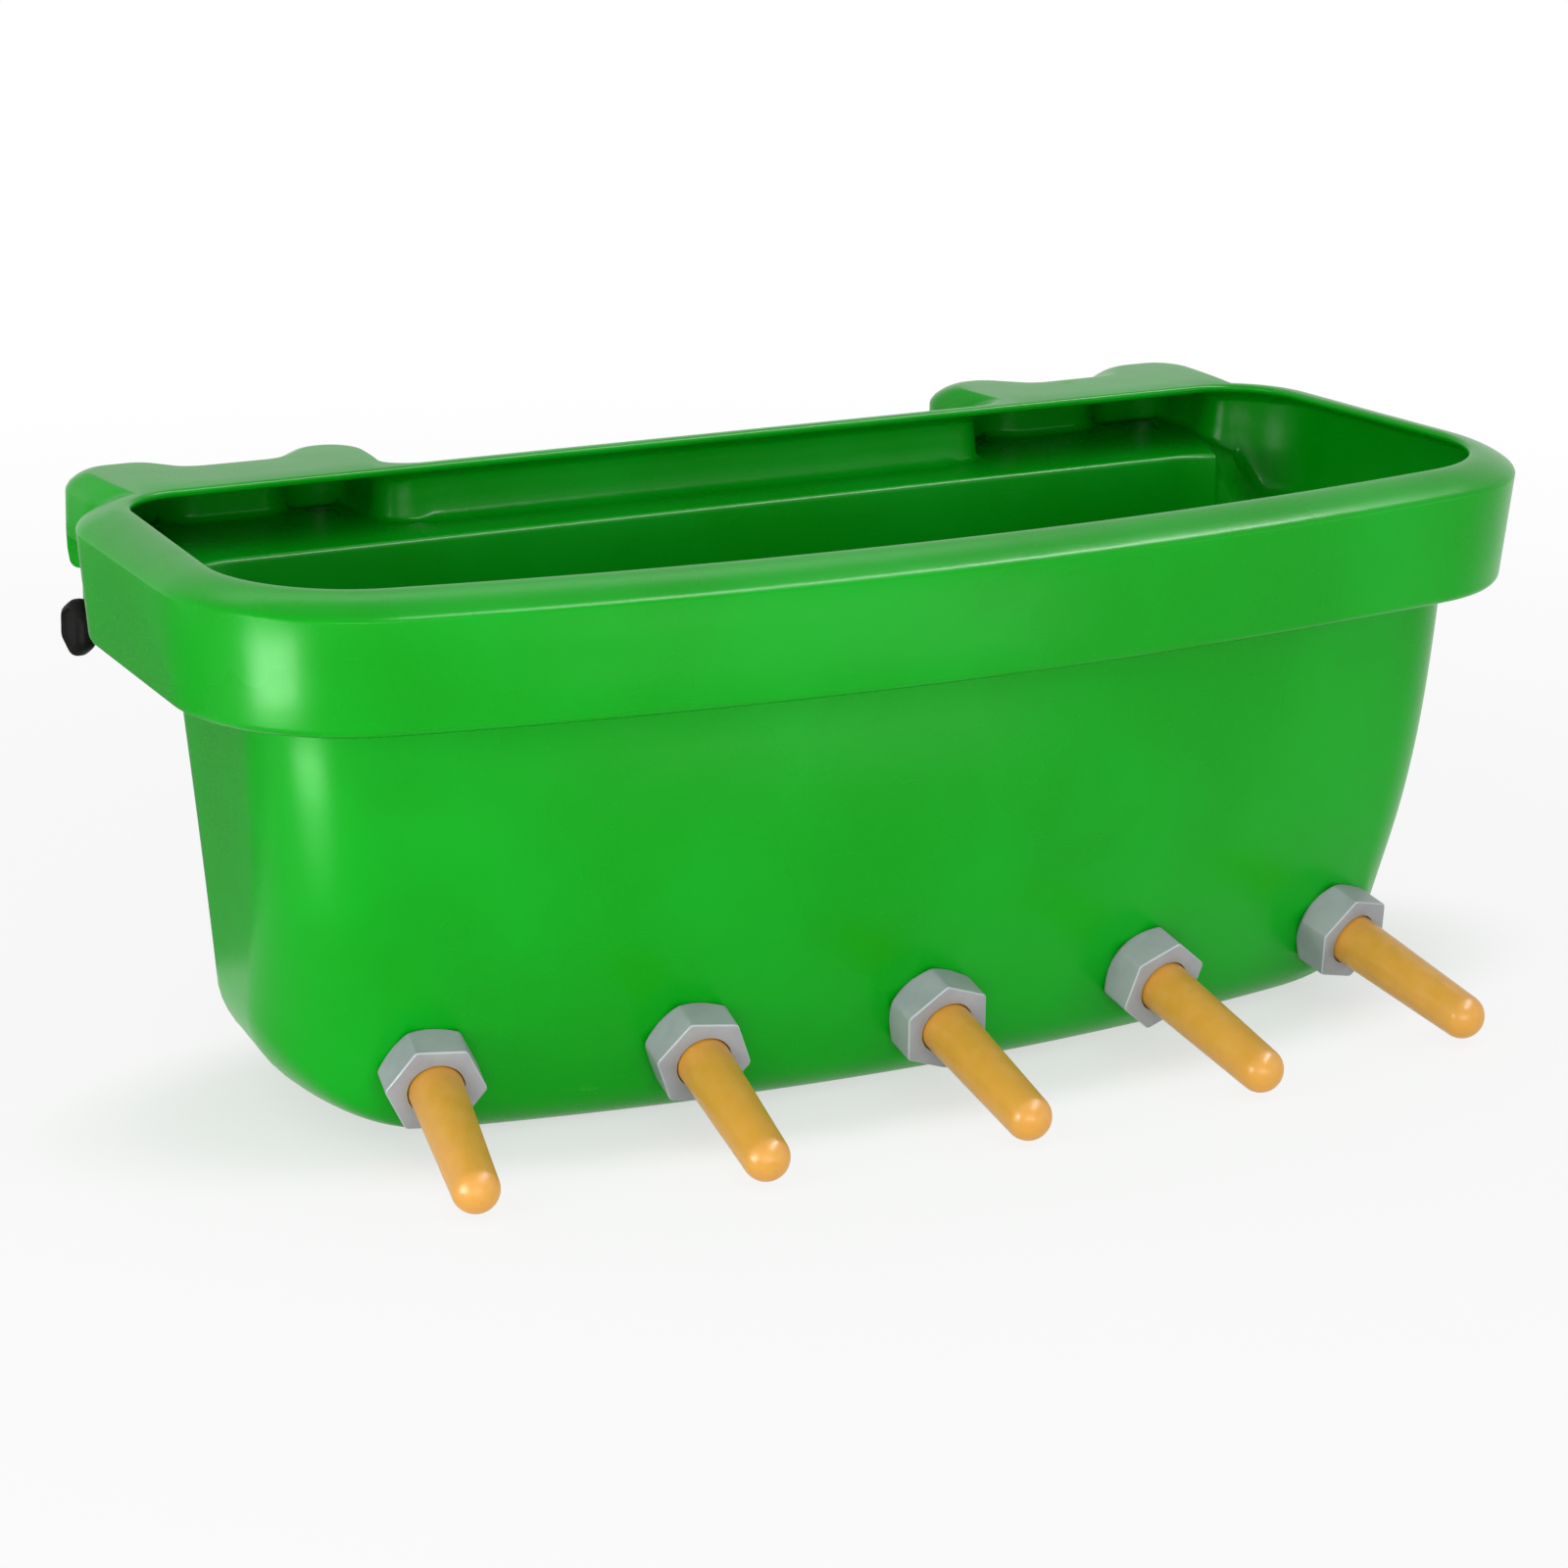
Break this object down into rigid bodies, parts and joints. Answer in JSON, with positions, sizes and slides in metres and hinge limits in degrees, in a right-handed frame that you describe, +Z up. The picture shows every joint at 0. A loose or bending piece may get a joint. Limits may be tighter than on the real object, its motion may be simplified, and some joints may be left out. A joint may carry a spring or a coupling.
{
  "type": "milk feeding trough",
  "caption": "Hanging plastic milk trough for calves: a tapered tub with a wide rim band, rubber teats in screwed unions low on its front, and rail hooks with swivel locks behind.",
  "frame": {"origin": "on the flat underside of the tub, at the middle of the feed opening in plan", "axes": "+Z up, -Y towards the teats, +Y towards the rail hooks, +X along the trough to the right as seen from the teat side"},
  "size_m": [0.7574, 0.4257, 0.289],
  "materials": {
    "green_polyethylene": "glossy moulded polyethylene, coloured through",
    "teat_rubber": "smooth amber rubber with a soft shine",
    "nut_plastic": "satin moulded grey plastic",
    "valve_plastic": "satin moulded white plastic",
    "seal_rubber": "matt black rubber",
    "black_plastic": "fine-grained black plastic",
    "bright_steel": "bright turned stainless steel"
  },
  "bodies": {
    "trough": {"trough_shell": "green_polyethylene", "valve_body_1": "valve_plastic", "valve_cage_1": "valve_plastic", "wall_seal_1": "seal_rubber", "valve_body_2": "valve_plastic", "valve_cage_2": "valve_plastic", "wall_seal_2": "seal_rubber", "valve_body_3": "valve_plastic", "valve_cage_3": "valve_plastic", "wall_seal_3": "seal_rubber", "valve_body_4": "valve_plastic", "valve_cage_4": "valve_plastic", "wall_seal_4": "seal_rubber", "valve_body_5": "valve_plastic", "valve_cage_5": "valve_plastic", "wall_seal_5": "seal_rubber"},
    "teat_1_body": {"teat_1": "teat_rubber"},
    "nut_1_body": {"union_nut_1": "nut_plastic"},
    "ball_1_body": {"check_ball_1": "bright_steel"},
    "teat_2_body": {"teat_2": "teat_rubber"},
    "nut_2_body": {"union_nut_2": "nut_plastic"},
    "ball_2_body": {"check_ball_2": "bright_steel"},
    "teat_3_body": {"teat_3": "teat_rubber"},
    "nut_3_body": {"union_nut_3": "nut_plastic"},
    "ball_3_body": {"check_ball_3": "bright_steel"},
    "teat_4_body": {"teat_4": "teat_rubber"},
    "nut_4_body": {"union_nut_4": "nut_plastic"},
    "ball_4_body": {"check_ball_4": "bright_steel"},
    "teat_5_body": {"teat_5": "teat_rubber"},
    "nut_5_body": {"union_nut_5": "nut_plastic"},
    "ball_5_body": {"check_ball_5": "bright_steel"},
    "lock_left": {"lock_knob_left": "black_plastic", "lock_spindle_left": "bright_steel", "lock_cam_left": "black_plastic", "lock_pin_left": "bright_steel", "lock_washer_left": "bright_steel", "lock_clip_left": "bright_steel"},
    "lock_right": {"lock_knob_right": "black_plastic", "lock_spindle_right": "bright_steel", "lock_cam_right": "black_plastic", "lock_pin_right": "bright_steel", "lock_washer_right": "bright_steel", "lock_clip_right": "bright_steel"}
  },
  "joints": [
    {"name": "teat_1_release", "type": "slide", "parent": "trough", "child": "teat_1_body", "axis": [-0.2053, -0.9381, -0.279], "range_m": [0, 0.01]},
    {"name": "nut_1_turn", "type": "hinge", "parent": "teat_1_body", "child": "nut_1_body", "pos_m": [-0.2632, -0.07247, 0.043], "axis": [-0.2053, -0.9381, -0.279], "range_deg": [0, 1201]},
    {"name": "ball_1_lift", "type": "slide", "parent": "trough", "child": "ball_1_body", "axis": [-0.2053, -0.9381, -0.279], "range_m": [-0.004, 0]},
    {"name": "teat_2_release", "type": "slide", "parent": "trough", "child": "teat_2_body", "axis": [-0.1026, -0.9548, -0.279], "range_m": [0, 0.01]},
    {"name": "nut_2_turn", "type": "hinge", "parent": "teat_2_body", "child": "nut_2_body", "pos_m": [-0.1316, -0.09388, 0.043], "axis": [-0.1026, -0.9548, -0.279], "range_deg": [0, 1201]},
    {"name": "ball_2_lift", "type": "slide", "parent": "trough", "child": "ball_2_body", "axis": [-0.1026, -0.9548, -0.279], "range_m": [-0.004, 0]},
    {"name": "teat_3_release", "type": "slide", "parent": "trough", "child": "teat_3_body", "axis": [0, -0.9603, -0.279], "range_m": [0, 0.01]},
    {"name": "nut_3_turn", "type": "hinge", "parent": "teat_3_body", "child": "nut_3_body", "pos_m": [0, -0.10093, 0.043], "axis": [0, -0.9603, -0.279], "range_deg": [0, 1201]},
    {"name": "ball_3_lift", "type": "slide", "parent": "trough", "child": "ball_3_body", "axis": [0, -0.9603, -0.279], "range_m": [-0.004, 0]},
    {"name": "teat_4_release", "type": "slide", "parent": "trough", "child": "teat_4_body", "axis": [0.1026, -0.9548, -0.279], "range_m": [0, 0.01]},
    {"name": "nut_4_turn", "type": "hinge", "parent": "teat_4_body", "child": "nut_4_body", "pos_m": [0.1316, -0.09388, 0.043], "axis": [0.1026, -0.9548, -0.279], "range_deg": [0, 1201]},
    {"name": "ball_4_lift", "type": "slide", "parent": "trough", "child": "ball_4_body", "axis": [0.1026, -0.9548, -0.279], "range_m": [-0.004, 0]},
    {"name": "teat_5_release", "type": "slide", "parent": "trough", "child": "teat_5_body", "axis": [0.2053, -0.9381, -0.279], "range_m": [0, 0.01]},
    {"name": "nut_5_turn", "type": "hinge", "parent": "teat_5_body", "child": "nut_5_body", "pos_m": [0.2632, -0.07247, 0.043], "axis": [0.2053, -0.9381, -0.279], "range_deg": [0, 1201]},
    {"name": "ball_5_lift", "type": "slide", "parent": "trough", "child": "ball_5_body", "axis": [0.2053, -0.9381, -0.279], "range_m": [-0.004, 0]},
    {"name": "lock_left_swing", "type": "hinge", "parent": "trough", "child": "lock_left", "pos_m": [-0.25, 0.2025, 0.2035], "axis": [1, 0, 0], "range_deg": [0, 110]},
    {"name": "lock_right_swing", "type": "hinge", "parent": "trough", "child": "lock_right", "pos_m": [0.25, 0.2025, 0.2035], "axis": [1, 0, 0], "range_deg": [0, 110]}
  ],
  "couplings": [
    {"joint": "nut_1_turn", "follows": "teat_1_release", "rad_per_m": 2094.4},
    {"joint": "nut_2_turn", "follows": "teat_2_release", "rad_per_m": 2094.4},
    {"joint": "nut_3_turn", "follows": "teat_3_release", "rad_per_m": 2094.4},
    {"joint": "nut_4_turn", "follows": "teat_4_release", "rad_per_m": 2094.4},
    {"joint": "nut_5_turn", "follows": "teat_5_release", "rad_per_m": 2094.4}
  ]
}
